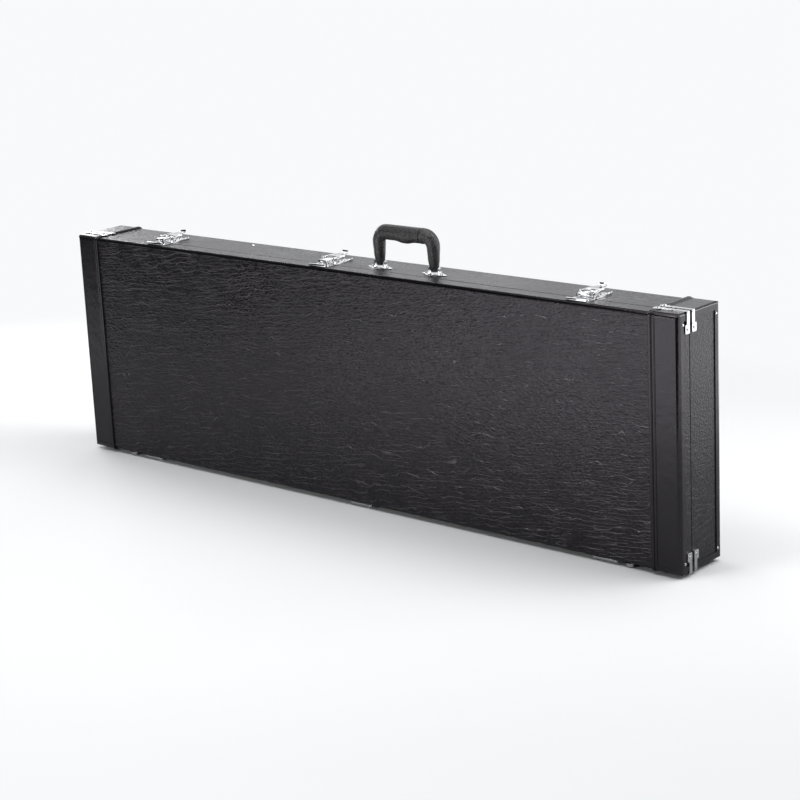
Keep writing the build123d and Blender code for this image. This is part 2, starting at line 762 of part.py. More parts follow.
def hinge_leaves(label, side, parity):
    """Three leaves on one half, with their knuckles and a turned-down outer lip."""
    with BuildPart() as leaves:
        for place in hinge_places:
            near = y_seam + side * (knuckle_radius + knuckle_gap)
            far = y_seam + side * hinge_leaf
            leaf_x = (place - hinge_width / 2, place + hinge_width / 2)
            leaf_z = (z_bottom - sheet, z_bottom)
            add(spans_box(leaf_x, sorted((near, far)), leaf_z))
            lip_y = sorted((far, far - side * sheet))
            add(spans_box(leaf_x, lip_y, (z_bottom - hinge_lip, z_bottom)))
            for span in knuckle_spans(place, parity):
                with BuildSketch(side_plane(span[0])):
                    with Locations((y_seam, hinge_axis_z)):
                        Circle(knuckle_radius)
                extrude(amount=length(span))
                neck_z = (z_bottom - sheet, z_bottom - knuckle_clearance)
                add(spans_box(span, sorted((y_seam, near)), neck_z))
            with BuildSketch(side_plane(leaf_x[0])):
                with Locations((y_seam, hinge_axis_z)):
                    Circle(hinge_pin_radius + running_clearance)
            extrude(amount=hinge_width, mode=Mode.SUBTRACT)
            with BuildSketch(Plane.XY.offset(z_bottom - sheet)):
                with Locations(*hinge_rivet_places(place, side)):
                    Circle(rivet_shank_radius)
            extrude(amount=sheet, mode=Mode.SUBTRACT)
    save(leaves, label)


hinge_leaves("lid_hinge_leaves", -1, 1)
hinge_leaves("base_hinge_leaves", 1, 0)

with BuildPart() as hinge_pins:
    for place in hinge_places:
        with BuildSketch(side_plane(place - hinge_width / 2)):
            with Locations((y_seam, hinge_axis_z)):
                Circle(hinge_pin_radius)
        extrude(amount=hinge_width)
save(hinge_pins, "hinge_pins")


# Clamps over the four corners of the seam, one set on each half
def clamp_middle(half_side):
    return y_seam + half_side * (clamp_seam_gap + clamp_tab_width / 2)


def clamp_rivet_places(half_side):
    """Where the clamps' rivets sit: on the end tabs, then on the arms' leaves."""
    back = clamp_middle(half_side)
    tab = clamp_neck + clamp_tab_length / 2
    leaf = x_end - clamp_arm_length
    return back, tab, leaf


def corner_clamps(label, half_side):
    """Bent straps: an arm with a leaf along the top or bottom, and a neck and tab down the end."""
    back, tab, leaf = clamp_rivet_places(half_side)
    arm_shift = half_side * (clamp_arm_width - clamp_tab_width) / 2
    x_skin = x_end + band_thickness
    with BuildPart() as clamps:
        for up in (-1, 1):
            face = z_top if up > 0 else z_bottom
            skin = face + up * band_thickness
            for side in (-1, 1):
                arm_x = sorted((side * leaf, side * (x_skin + sheet)))
                arm_y = (back + arm_shift - clamp_arm_width / 2, back + arm_shift + clamp_arm_width / 2)
                arm_z = sorted((skin, skin + up * sheet))
                add(spans_box(arm_x, arm_y, arm_z))
                with BuildSketch(Plane.XY.offset(arm_z[0])):
                    with Locations((side * leaf, back)):
                        Ellipse(clamp_leaf_length / 2, clamp_leaf_width / 2)
                extrude(amount=sheet)
                with BuildSketch(Plane.XY.offset(arm_z[0])):
                    with Locations((side * leaf, back)):
                        Circle(rivet_shank_radius)
                extrude(amount=sheet, mode=Mode.SUBTRACT)
                neck_z = sorted((skin + up * sheet, face - up * clamp_neck))
                add(spans_box(sorted((side * x_skin, side * (x_skin + sheet))), arm_y, neck_z))
                with BuildSketch(side_plane(side * x_end)):
                    with Locations((back, face - up * tab)):
                        RectangleRounded(clamp_tab_width, clamp_tab_length, clamp_round)
                    with Locations((back, face - up * tab)):
                        Circle(rivet_shank_radius, mode=Mode.SUBTRACT)
                extrude(amount=side * (band_thickness + sheet))
    save(clamps, label)


def rivet(surface, shank_length):
    """A domed rivet on a plane whose normal points out of the sheet."""
    with BuildPart() as one:
        with BuildSketch(surface.offset(-shank_length)):
            Circle(rivet_shank_radius)
        extrude(amount=shank_length)
        with BuildSketch(surface):
            Circle(rivet_head_radius)
        extrude(amount=rivet_head_height, taper=rivet_head_taper)
    return one.part


def surface_plane(x, y, z, normal):
    return Plane(origin=(x, y, z), z_dir=normal)


def half_rivets(label, half_side):
    """Every rivet on one half: clamps, hinges, and what its top face carries."""
    back, tab, leaf = clamp_rivet_places(half_side)
    under_tab = band_thickness + sheet
    spots = []
    for up in (-1, 1):
        face = z_top if up > 0 else z_bottom
        for side in (-1, 1):
            x_tab = side * (x_end + under_tab)
            spots.append((surface_plane(x_tab, back, face - up * tab, (side, 0, 0)), under_tab))
            spots.append((surface_plane(side * leaf, back, face + up * under_tab, (0, 0, up)), sheet))
    for place in hinge_places:
        for x, y in hinge_rivet_places(place, half_side):
            spots.append((surface_plane(x, y, z_bottom - sheet, (0, 0, -1)), sheet))
    on_top = []
    for place in latch_places.values():
        on_top += keeper_rivet_places(place) if half_side < 0 else latch_rivet_places(place)
    if half_side > 0:
        for leg in leg_places:
            on_top += [(leg - handle_rivet_place, y_handle), (leg + handle_rivet_place, y_handle)]
    spots += [(surface_plane(x, y, z_top + sheet, (0, 0, 1)), sheet) for x, y in on_top]
    heads = [rivet(surface, shank) for surface, shank in spots]
    with BuildPart() as rivets:
        add(heads)
    save(rivets, label)


def half_nails(label, y, extra):
    """Small round nails that hold the bands' flanges at the corners of the end faces."""
    with BuildPart() as nails:
        for side in (-1, 1):
            for z in (z_bottom + nail_edge, z_top - nail_edge):
                with BuildSketch(surface_plane(side * (x_end + band_thickness), y, z, (side, 0, 0))):
                    Circle(nail_radius)
                extrude(amount=nail_height, taper=nail_taper)
        for x, nail_y in extra:
            with BuildSketch(surface_plane(x, nail_y, z_top, (0, 0, 1))):
                Circle(nail_radius)
            extrude(amount=nail_height, taper=nail_taper)
    save(nails, label)


corner_clamps("lid_corner_clamps", -1)
corner_clamps("base_corner_clamps", 1)
half_rivets("lid_rivets", -1)
half_rivets("base_rivets", 1)
half_nails("lid_nails", y_front + nail_side, [])
half_nails("base_nails", y_rear - nail_side, [(strap_nail_place, y_rear - strap_nail_inset)])

print("bass case parts written")
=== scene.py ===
# %% [markdown]
# # A bass guitar case in black grained vinyl
#
# The case is two plywood shells covered in vinyl, with smooth bands round its ends, chromed
# latches and corner clamps, and a padded handle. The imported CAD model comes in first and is
# never moved. Everything below either gives it a finish or stands in for one of its soft parts.

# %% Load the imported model
import json
import math

import bmesh
import bpy
from mathutils import Matrix, Vector


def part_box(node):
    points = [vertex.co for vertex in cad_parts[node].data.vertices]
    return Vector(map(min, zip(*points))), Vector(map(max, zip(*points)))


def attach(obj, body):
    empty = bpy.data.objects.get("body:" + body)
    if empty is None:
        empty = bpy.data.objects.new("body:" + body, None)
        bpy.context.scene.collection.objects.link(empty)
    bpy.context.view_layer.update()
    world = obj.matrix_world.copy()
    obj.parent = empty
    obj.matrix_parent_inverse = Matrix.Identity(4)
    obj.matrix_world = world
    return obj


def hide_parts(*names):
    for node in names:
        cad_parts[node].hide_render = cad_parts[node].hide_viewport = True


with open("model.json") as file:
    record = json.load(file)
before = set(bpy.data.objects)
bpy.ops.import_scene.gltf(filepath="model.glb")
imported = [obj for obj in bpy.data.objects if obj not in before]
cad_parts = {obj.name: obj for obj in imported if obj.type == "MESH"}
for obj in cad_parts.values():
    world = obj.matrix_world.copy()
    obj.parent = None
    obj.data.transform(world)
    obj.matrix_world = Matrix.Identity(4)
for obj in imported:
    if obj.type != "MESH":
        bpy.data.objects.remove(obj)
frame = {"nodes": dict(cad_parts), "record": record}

scene = bpy.context.scene
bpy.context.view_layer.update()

# %% [markdown]
# ## The camera
#
# The picture was taken from the front right, a little above the case, with a long lens. Such a
# lens keeps the long edges nearly parallel. A camera placed by eye would drift, so its place and
# its three directions are set outright, and the lens follows from how fast the case narrows.

# %% Place the camera
camera_place = Vector((2.22031, -2.46446, 1.07328))
lens_length, sensor_width = 96.14, 36.0
nearest, furthest = 0.1, 200.0
to_right = Vector((0.75955, 0.64881, -0.04626))
to_top = Vector((-0.13798, 0.23022, 0.96331))
to_back = Vector((0.63565, -0.72529, 0.26438))

lens = bpy.data.cameras.new("studio_camera")
lens.lens = lens_length
lens.sensor_width = sensor_width
lens.clip_start, lens.clip_end = nearest, furthest
camera = bpy.data.objects.new("studio_camera", lens)
turn = Matrix((to_right, to_top, to_back)).transposed()
camera.matrix_world = Matrix.Translation(camera_place) @ turn.to_4x4()
scene.collection.objects.link(camera)
scene.camera = camera
print("camera", round(camera_place.length, 2), "m from the case")

# %% [markdown]
# ## Studio light
#
# A black case shows almost nothing but reflections, so the room matters more than the lamps. A
# plain white room would make every edge as bright as its neighbour. Here the room is pale behind
# the case and dim on the camera's side and overhead, as in a studio with dark cloth round the
# camera. Rounded edges then turn dark, and on the grained vinyl a painted dark reflection
# deepens that. Bright metal gets its black and white. What the camera itself sees stays the
# plain background tone.

# %% Helpers for shader nodes


def add_node(owner, kind, feeds=(), **settings):
    """Add a node to a material or the world. Feeds pair a socket with a number or an output."""
    tree = owner.node_tree
    node = tree.nodes.new(kind)
    for name, value in settings.items():
        setattr(node, name, value)
    for socket, value in dict(feeds).items():
        if isinstance(value, bpy.types.NodeSocket):
            tree.links.new(value, node.inputs[socket])
        else:
            node.inputs[socket].default_value = value
    return node


def maths(owner, operation, *values):
    """Join numbers or outputs by an operation, taking them in from left to right."""
    result, *others = values
    for other in others or [0.0]:
        result = add_node(owner, "ShaderNodeMath", {0: result, 1: other}, operation=operation).outputs[0]
    return result


def ranged(owner, value, low, high, to_low=0.0, to_high=1.0):
    """Spread a value smoothly from one range onto another."""
    return add_node(owner, "ShaderNodeMapRange",
                    {"Value": value, "From Min": low, "From Max": high, "To Min": to_low,
                     "To Max": to_high}, interpolation_type="SMOOTHSTEP").outputs[0]


def mixed_shaders(owner, share, first, second):
    """A shader that runs from the first to the second as the share grows."""
    return add_node(owner, "ShaderNodeMixShader",
                    {0: share, 1: first.outputs[0], 2: second.outputs[0]})


# %% Build the world
background_tone = (0.938, 0.955, 0.962, 1.0)
room_tint = (0.97, 0.985, 1.0, 1.0)
room_light = 0.03
dim_side = 0.02
pale_from_y, pale_to_y = -0.45, 0.25
dark_from_z, dark_to_z = 0.45, 0.8

scene.view_settings.view_transform = "Standard"
world = bpy.data.worlds.new("studio_world")
world.use_nodes = True
scene.world = world

soft_light = world.node_tree.nodes["Background"]
soft_light.inputs["Color"].default_value = room_tint
soft_light.inputs["Strength"].default_value = room_light
toward = add_node(world, "ShaderNodeTexCoord").outputs["Generated"]
parts = add_node(world, "ShaderNodeSeparateXYZ", {0: toward})
behind = ranged(world, parts.outputs["Y"], pale_from_y, pale_to_y)
not_above = ranged(world, parts.outputs["Z"], dark_from_z, dark_to_z, 1.0, 0.0)
pale = maths(world, "MULTIPLY", behind, not_above)
shine_level = add_node(world, "ShaderNodeMapRange", {"Value": pale, "To Min": dim_side, "To Max": 1.0})
shine = add_node(world, "ShaderNodeBackground", {"Color": background_tone,
                                                 "Strength": shine_level.outputs[0]})
plain = add_node(world, "ShaderNodeBackground", {"Color": background_tone, "Strength": 1.0})
rays = add_node(world, "ShaderNodeLightPath")
reflected = maths(world, "MAXIMUM", rays.outputs["Is Glossy Ray"], rays.outputs["Is Transmission Ray"])
lit_or_shine = mixed_shaders(world, reflected, soft_light, shine)
all_rays = mixed_shaders(world, rays.outputs["Is Camera Ray"], lit_or_shine, plain)
world_output = world.node_tree.nodes["World Output"]
world.node_tree.links.new(all_rays.outputs[0], world_output.inputs["Surface"])
print("world with", len(world.node_tree.nodes), "nodes")

# %% Hang the soft lamps


def softbox(name, place, aim, size, power):
    """A square soft lamp at a place, turned to face a point. The camera doesn't see it."""
    data = bpy.data.lights.new(name, "AREA")
    data.shape = "SQUARE"
    data.size = size
    data.energy = power
    lamp = bpy.data.objects.new(name, data)
    lamp.location = place
    lamp.rotation_euler = (Vector(aim) - Vector(place)).to_track_quat("-Z", "Y").to_euler()
    lamp.visible_camera = False
    scene.collection.objects.link(lamp)
    return lamp


# Each row: name, place, point to face, size in metres and power in watts.
middle = (0.1, 0.0, 0.25)
lamps = (("lamp_front_low", (-0.43, -1.98, 0.69), middle, 0.9, 11.0),
         ("lamp_front_high", (-0.16, -0.95, 2.10), middle, 0.9, 12.0),
         ("lamp_right", (1.70, 0.43, 1.54), middle, 0.9, 11.0),
         ("lamp_behind_right", (0.80, 0.70, 2.10), middle, 0.9, 9.5),
         ("lamp_behind_left", (-1.07, 1.17, 1.54), middle, 0.9, 3.7),
         ("lamp_left", (-1.88, 0.53, 0.69), middle, 0.9, 15.5),
         ("lamp_overhead", (0.2, -0.1, 2.9), (0.1, 0.0, 0.0), 2.8, 36.0),
         ("lamp_end", (1.35, 0.9, 0.75), (0.62, 0.0, 0.36), 0.5, 3.7))
for name, place, aim, size, power in lamps:
    softbox(name, place, aim, size, power)
print(len(lamps), "soft lamps")

# %% [markdown]
# ## The floor
#
# The case stands on a pale sweep with no horizon. Near the case the floor takes light and shadow
# as paper does. Further out it fades into the plain tone of the background, so that no lamp
# leaves a patch on it. Shiny surfaces see more: a bright stretch in front of the case, another
# behind it, and a dimmer strip between the two. That spreads the long highlight over the front.
#
# The hinges are so close to the floor that the hinge side of the open lid dips below it, so the
# paper gives way over anything beneath.

# %% Lay the floor
floor_size = 60.0
fade_start, fade_end = 0.62, 1.15
fade_squeeze = (0.62, 1.0, 1.0)
paper_tone = (0.93, 0.945, 0.95, 1.0)
glow_left, glow_right = (-1.3, -0.5), (0.0, 0.6)
glow_front, glow_near = -0.9, -0.4
front_glow, back_glow, near_dim = 2.6, 2.1, 0.5
give_depth = 0.05
give_start, give_end = 0.75, 0.95

floor_mesh = bpy.data.meshes.new("studio_floor")
shape = bmesh.new()
bmesh.ops.create_grid(shape, x_segments=1, y_segments=1, size=floor_size / 2)
shape.to_mesh(floor_mesh)
shape.free()
floor = bpy.data.objects.new("studio_floor", floor_mesh)
scene.collection.objects.link(floor)

floor_paper = bpy.data.materials.new("floor_paper")
floor_paper.use_nodes = True
paper = floor_paper.node_tree.nodes["Principled BSDF"]
paper.inputs["Base Color"].default_value = paper_tone
paper.inputs["Roughness"].default_value = 0.9
paper.inputs["Specular IOR Level"].default_value = 0.0
floor_rays = add_node(floor_paper, "ShaderNodeLightPath")
spot = add_node(floor_paper, "ShaderNodeTexCoord").outputs["Object"]
spot_parts = add_node(floor_paper, "ShaderNodeSeparateXYZ", {0: spot})
squeezed = add_node(floor_paper, "ShaderNodeMapping", {"Vector": spot, "Scale": fade_squeeze})
reach = add_node(floor_paper, "ShaderNodeVectorMath", {0: squeezed.outputs[0]}, operation="LENGTH")
fade = ranged(floor_paper, reach.outputs["Value"], fade_start, fade_end)
print("floor", floor_size, "m wide")

# %% Say what each kind of ray sees of the floor
in_front = ranged(floor_paper, spot_parts.outputs["Y"], glow_front, glow_near, 1.0, 0.0)
from_left = ranged(floor_paper, spot_parts.outputs["X"], *glow_left, 0.0, 1.0)
from_right = ranged(floor_paper, spot_parts.outputs["X"], *glow_right, 1.0, 0.0)
front_part = maths(floor_paper, "MULTIPLY", in_front, from_left, from_right, front_glow)
not_in_front = maths(floor_paper, "SUBTRACT", 1.0, in_front)
back_part = maths(floor_paper, "MULTIPLY", not_in_front, fade, back_glow)
room_glow = maths(floor_paper, "ADD", front_part, back_part)
room_tone = add_node(floor_paper, "ShaderNodeEmission", {"Color": background_tone, "Strength": room_glow})
plain_tone = add_node(floor_paper, "ShaderNodeEmission", {"Color": background_tone, "Strength": 1.0})

shiny_share = maths(floor_paper, "MAXIMUM", fade, in_front, near_dim)
shiny_share = maths(floor_paper, "MULTIPLY", shiny_share, floor_rays.outputs["Is Glossy Ray"])
camera_share = maths(floor_paper, "MULTIPLY", fade, floor_rays.outputs["Is Camera Ray"])
to_room = mixed_shaders(floor_paper, shiny_share, paper, room_tone)
to_plain = mixed_shaders(floor_paper, camera_share, to_room, plain_tone)

beneath = add_node(floor_paper, "ShaderNodeAmbientOcclusion", {"Distance": give_depth}, inside=True,
                   samples=4)
gives_way = ranged(floor_paper, beneath.outputs["AO"], give_start, give_end, 1.0, 0.0)
see_through = add_node(floor_paper, "ShaderNodeBsdfTransparent")
with_give = mixed_shaders(floor_paper, gives_way, to_plain, see_through)
paper_output = floor_paper.node_tree.nodes["Material Output"]
floor_paper.node_tree.links.new(with_give.outputs[0], paper_output.inputs["Surface"])
floor_mesh.materials.append(floor_paper)
print("floor paper has", len(floor_paper.node_tree.nodes), "nodes")

# %% [markdown]
# ## Finishes
#
# Each finish starts from the same few settings of the Principled shader: its colour, how rough it
# is, and whether it is metal. A relief then goes in through a Bump node. Patterns read Object
# coordinates, which are metres here, so a grain of two millimetres is a scale of 500.

# %% Helpers for the finishes


def start_finish(name, colour, roughness, metallic=0.0, shine=0.5):
    """A material with its flat values set on the shader itself."""
    material = bpy.data.materials.new(name)
    material.use_nodes = True
    surface = material.node_tree.nodes["Principled BSDF"]
    surface.inputs["Base Color"].default_value = (*colour, 1.0)
    surface.inputs["Roughness"].default_value = roughness
    surface.inputs["Metallic"].default_value = metallic
    surface.inputs["Specular IOR Level"].default_value = shine
    return material, surface


def object_place(material, scale=(1.0, 1.0, 1.0)):
    """Object coordinates, squeezed along each axis by a scale."""
    coordinates = add_node(material, "ShaderNodeTexCoord").outputs["Object"]
    return add_node(material, "ShaderNodeMapping", {"Vector": coordinates, "Scale": scale}).outputs[0]


def noise(material, place, scale, detail=2.0, roughness=0.5):
    return add_node(material, "ShaderNodeTexNoise",
                    {"Vector": place, "Scale": scale, "Detail": detail,
                     "Roughness": roughness}).outputs["Fac"]


def cells(material, place, scale):
    """Soft round cells, low in the middle and high at their borders."""
    return add_node(material, "ShaderNodeTexVoronoi", {"Vector": place, "Scale": scale},
                    feature="SMOOTH_F1").outputs["Distance"]


def mixed_colour(material, factor, first, second):
    """A colour that runs from the first, which may be a node's output, to the second."""
    start = first if isinstance(first, bpy.types.NodeSocket) else (*first, 1.0)
    return add_node(material, "ShaderNodeMix", {0: factor, 6: start, 7: (*second, 1.0)},
                    data_type="RGBA").outputs[2]


def feed(material, surface, socket, value):
    material.node_tree.links.new(value, surface.inputs[socket])


def relief(material, surface, height, depth, under=None):
    """Raise the surface by a height of 0 to 1, times a depth in metres."""
    feeds = {"Height": height, "Distance": depth, "Strength": 1.0}
    if under is not None:
        feeds["Normal"] = under
    bump = add_node(material, "ShaderNodeBump", feeds)
    feed(material, surface, "Normal", bump.outputs[0])
    return bump.outputs[0]


# %% [markdown]
# The covering is vinyl embossed like elephant hide: creases that run along the case and wander a
# little up and down, with a pebble grain between them. The creases are level lines of a height
# that grows across the sheet and is bent by two noises. A slow noise tilts whole stretches, a
# quicker one gives the small waves, and a cloud pattern breaks the lines into lengths.

# %% Grained vinyl
vinyl_tint = (0.98, 0.91, 1.0, 1.0)
vinyl_black = (0.016, 0.0155, 0.0175)
# Painted light and shade on the grain: its cells are painted a little lighter in the middle and darker at
# their borders.
grain_painted_light_tone, grain_painted_shade_tone = (0.0185, 0.0168, 0.0205), (0.004, 0.0036, 0.0046)
crease_highlight_tone, edge_dark_reflection_tone = (0.042, 0.039, 0.045), (0.004, 0.0037, 0.0045)
pebble_low, pebble_high = 0.15, 0.6
# Each row: spacing and thickness in metres, a shift of the pattern and a strength.
crease_sets = ((0.0125, 0.0010, 0.0, 1.0), (0.0083, 0.0009, 3.7, 1.0), (0.0052, 0.0008, 8.1, 0.55))
roll_askew = 0.13
tilt_scale, tilt_rows = 9.0, 3.2
wave_scale, wave_rows = 50.0, 1.7
cloud_scale, cloud_low, cloud_high = 42.0, 0.43, 0.57


def across_sheet(material):
    """Metres across the sheet, slightly askew: up the upright faces, to the back on the lying ones."""
    coordinates = add_node(material, "ShaderNodeTexCoord")
    place = add_node(material, "ShaderNodeSeparateXYZ", {0: coordinates.outputs["Object"]})
    facing = add_node(material, "ShaderNodeSeparateXYZ", {0: coordinates.outputs["Normal"]})
    lying = maths(material, "ABSOLUTE", facing.outputs["Z"])
    blend = add_node(material, "ShaderNodeMix", {"Factor": lying, 2: place.outputs["Z"],
                                                 3: place.outputs["Y"]}, data_type="FLOAT")
    askew = maths(material, "MULTIPLY", place.outputs["X"], roll_askew)
    return maths(material, "SUBTRACT", blend.outputs[0], askew)


def crease_lines(material, across, spacing, thickness, shift):
    """Wandering lines a spacing apart, each as thick as a thickness in metres."""
    place = add_node(material, "ShaderNodeMapping",
                     {"Vector": object_place(material, (0.55, 1.0, 1.0)),
                      "Location": (shift, shift, shift)}).outputs[0]
    tilt = maths(material, "MULTIPLY", noise(material, place, tilt_scale, 1.0), tilt_rows)
    waves = maths(material, "MULTIPLY", noise(material, place, wave_scale, 2.0), wave_rows)
    rows = maths(material, "MULTIPLY", across, 1.0 / spacing)
    from_line = maths(material, "PINGPONG", maths(material, "ADD", rows, tilt, waves), 0.5)
    line = ranged(material, from_line, 0.0, thickness / spacing, 1.0, 0.0)
    length_mask = ranged(material, noise(material, place, cloud_scale, 2.0), cloud_low, cloud_high)
    return maths(material, "MULTIPLY", line, length_mask)


def on_edges(material):
    """1 on the rounded long edges, where the vinyl is pulled tight and smooth, and 0 elsewhere."""
    facing = add_node(material, "ShaderNodeTexCoord").outputs["Normal"]
    share = add_node(material, "ShaderNodeSeparateXYZ", {0: facing})
    steep = [maths(material, "ABSOLUTE", share.outputs[axis]) for axis in "XYZ"]
    return ranged(material, maths(material, "MAXIMUM", *steep), 0.995, 0.93)


def less_on_edges(material, value, edges, kept=0.0):
    """A value that shrinks to a kept share of itself on the edges."""
    return maths(material, "MULTIPLY", value, ranged(material, edges, 0.0, 1.0, 1.0, kept))


# %% Emboss the grained vinyl
grained_vinyl, surface = start_finish("grained_vinyl", vinyl_black, 0.28)
across = across_sheet(grained_vinyl)
edges = on_edges(grained_vinyl)
creases = 0.0
for spacing, thickness, shift, strength in crease_sets:
    lines = crease_lines(grained_vinyl, across, spacing, thickness, shift)
    creases = maths(grained_vinyl, "MAXIMUM", creases, maths(grained_vinyl, "MULTIPLY", lines, strength))
creases = less_on_edges(grained_vinyl, creases, edges)
facing = add_node(grained_vinyl, "ShaderNodeTexCoord").outputs["Normal"]
facing_end = add_node(grained_vinyl, "ShaderNodeSeparateXYZ", {0: facing}).outputs["X"]
creases = less_on_edges(grained_vinyl, creases, maths(grained_vinyl, "ABSOLUTE", facing_end), 0.35)
pebble = cells(grained_vinyl, object_place(grained_vinyl, (0.6, 1.0, 1.0)), 330.0)
pebble = less_on_edges(grained_vinyl, pebble, edges, 0.2)
under = relief(grained_vinyl, surface, pebble, 0.0005)
relief(grained_vinyl, surface, creases, 0.00045, under)

# %% Colour the grained vinyl
# Painted shade: the borders of the grain's cells are painted darker than their middles.
painted_shade_in_grain = ranged(grained_vinyl, pebble, pebble_low, pebble_high)
ground = mixed_colour(grained_vinyl, painted_shade_in_grain, grain_painted_light_tone, grain_painted_shade_tone)
# Painted highlight: the crease lines are painted lighter, as where their ridges catch the lamps above.
with_crease_highlight = mixed_colour(grained_vinyl, creases, ground, crease_highlight_tone)
# Painted dark reflection: the rounded edges are painted darker, on top of their smoother vinyl mirroring
# the dim room.
feed(grained_vinyl, surface, "Base Color", mixed_colour(grained_vinyl, edges, with_crease_highlight, edge_dark_reflection_tone))
feed(grained_vinyl, surface, "Specular IOR Level", ranged(grained_vinyl, creases, 0.0, 1.0, 0.43, 1.0))
surface.inputs["Specular Tint"].default_value = vinyl_tint
clouds = noise(grained_vinyl, object_place(grained_vinyl), 6.0)
cloudy = ranged(grained_vinyl, clouds, 0.3, 0.7, 0.25, 0.31)
feed(grained_vinyl, surface, "Roughness", less_on_edges(grained_vinyl, cloudy, edges, 0.45))
print("grained vinyl has", len(grained_vinyl.node_tree.nodes), "nodes")

# %% [markdown]
# The bands are a smoother vinyl with a fine leather print, and the handle is a pebbled
# leatherette whose cells are larger. Both are soft cells under a bump, at two scales.

# %% Smooth vinyl and leatherette
smooth_vinyl, surface = start_finish("smooth_vinyl", (0.0098, 0.009, 0.0108), 0.26, shine=0.45)
surface.inputs["Specular Tint"].default_value = vinyl_tint
edges = on_edges(smooth_vinyl)
feed(smooth_vinyl, surface, "Roughness", ranged(smooth_vinyl, edges, 0.0, 1.0, 0.26, 0.12))
print_cells = less_on_edges(smooth_vinyl, cells(smooth_vinyl, object_place(smooth_vinyl), 900.0), edges)
under = relief(smooth_vinyl, surface, print_cells, 0.00012)
relief(smooth_vinyl, surface, noise(smooth_vinyl, object_place(smooth_vinyl), 45.0, 2.0), 0.0007, under)

leatherette, surface = start_finish("handle_leatherette", (0.03, 0.0295, 0.031), 0.42)
pebbles = cells(leatherette, object_place(leatherette), 500.0)
under = relief(leatherette, surface, pebbles, 0.0006)
relief(leatherette, surface, noise(leatherette, object_place(leatherette), 240.0, 3.0), 0.00025, under)
# Painted light and shade on the pebbles: the middles of the cells are painted lighter and their borders
# darker.
painted_shade_in_grain = ranged(leatherette, pebbles, pebble_low, pebble_high)
feed(leatherette, surface, "Base Color",
     mixed_colour(leatherette, painted_shade_in_grain, (0.07, 0.067, 0.071), (0.012, 0.0115, 0.0125)))

thread, surface = start_finish("handle_thread", (0.006, 0.006, 0.0065), 0.6)
relief(thread, surface, noise(thread, object_place(thread), 4000.0, 2.0), 0.0002)

# %% [markdown]
# The fittings are pressed steel with a bright plating. Real plating is never a perfect mirror:
# it has a slight haze and a slow ripple from the press. Both are in the roughness and the bump.

# %% Plated steel and plain steel
chrome_plate, surface = start_finish("chrome_plate", (0.67, 0.67, 0.685), 0.1, 1.0)
haze = noise(chrome_plate, object_place(chrome_plate), 180.0, 3.0)
feed(chrome_plate, surface, "Roughness", ranged(chrome_plate, haze, 0.35, 0.7, 0.06, 0.16))
relief(chrome_plate, surface, noise(chrome_plate, object_place(chrome_plate), 260.0, 1.0), 0.00018)

strip_steel, surface = start_finish("strip_steel", (0.46, 0.46, 0.47), 0.38, 1.0)
rolled = noise(strip_steel, object_place(strip_steel, (1.0, 8.0, 1.0)), 400.0)
feed(strip_steel, surface, "Roughness", ranged(strip_steel, rolled, 0.3, 0.7, 0.3, 0.5))

# %% [markdown]
# The wood shows only on the rim when the lid is open, where the sawn edge of the plywood gives
# its layers away. The layers of the top and bottom walls lie across Z and those of the end walls
# across X, so there are two plywoods, whose stripes differ only in direction.

# %% Plywood
dark_ply, pale_ply, worn_ply = (0.30, 0.20, 0.12), (0.60, 0.45, 0.29), (0.70, 0.55, 0.38)


def plywood_finish(name, across):
    material, surface = start_finish(name, (0.62, 0.47, 0.31), 0.62, shine=0.3)
    grain_squeeze = (0.08, 1.0, 1.0) if across == "Z" else (1.0, 1.0, 0.08)
    grain = noise(material, object_place(material, grain_squeeze), 260.0, 4.0, 0.6)
    plies = add_node(material, "ShaderNodeTexWave",
                     {"Vector": object_place(material), "Scale": 110.0, "Distortion": 0.3},
                     wave_type="BANDS", bands_direction=across).outputs["Fac"]
    layered = mixed_colour(material, ranged(material, plies, 0.35, 0.65), dark_ply, pale_ply)
    worn = ranged(material, grain, 0.45, 0.75, 0.0, 0.6)
    feed(material, surface, "Base Color", mixed_colour(material, worn, layered, worn_ply))
    relief(material, surface, grain, 0.0002)
    return material


plywood_flat = plywood_finish("plywood_flat", "Z")
plywood_upright = plywood_finish("plywood_upright", "X")

# %% [markdown]
# The lining is a short black plush. Pile scatters light at its tips, which the shader's sheen
# gives, and it lies in soft patches where a hand has stroked it one way or the other.

# %% Plush and ribbon
plush, surface = start_finish("plush", (0.016, 0.016, 0.018), 0.95, shine=0.1)
surface.inputs["Sheen Weight"].default_value = 0.5
surface.inputs["Sheen Roughness"].default_value = 0.45
surface.inputs["Sheen Tint"].default_value = (0.6, 0.6, 0.66, 1.0)
stroked = noise(plush, object_place(plush, (0.6, 1.0, 1.0)), 16.0, 3.0)
painted_sheen_patches = ranged(plush, stroked, 0.35, 0.65)
# Painted sheen: the colour is lighter in patches, where stroked pile would catch the light.
feed(plush, surface, "Base Color",
     mixed_colour(plush, painted_sheen_patches, (0.011, 0.011, 0.0125), (0.026, 0.026, 0.03)))
under = relief(plush, surface, noise(plush, object_place(plush), 1500.0, 2.0), 0.0008)
relief(plush, surface, stroked, 0.003, under)

ribbon, surface = start_finish("ribbon", (0.02, 0.02, 0.022), 0.7, shine=0.3)
ribs = add_node(ribbon, "ShaderNodeTexWave", {"Vector": object_place(ribbon), "Scale": 320.0},
                wave_type="BANDS", bands_direction="Z").outputs["Fac"]
relief(ribbon, surface, ribs, 0.0003)
print("finishes:", len(bpy.data.materials))

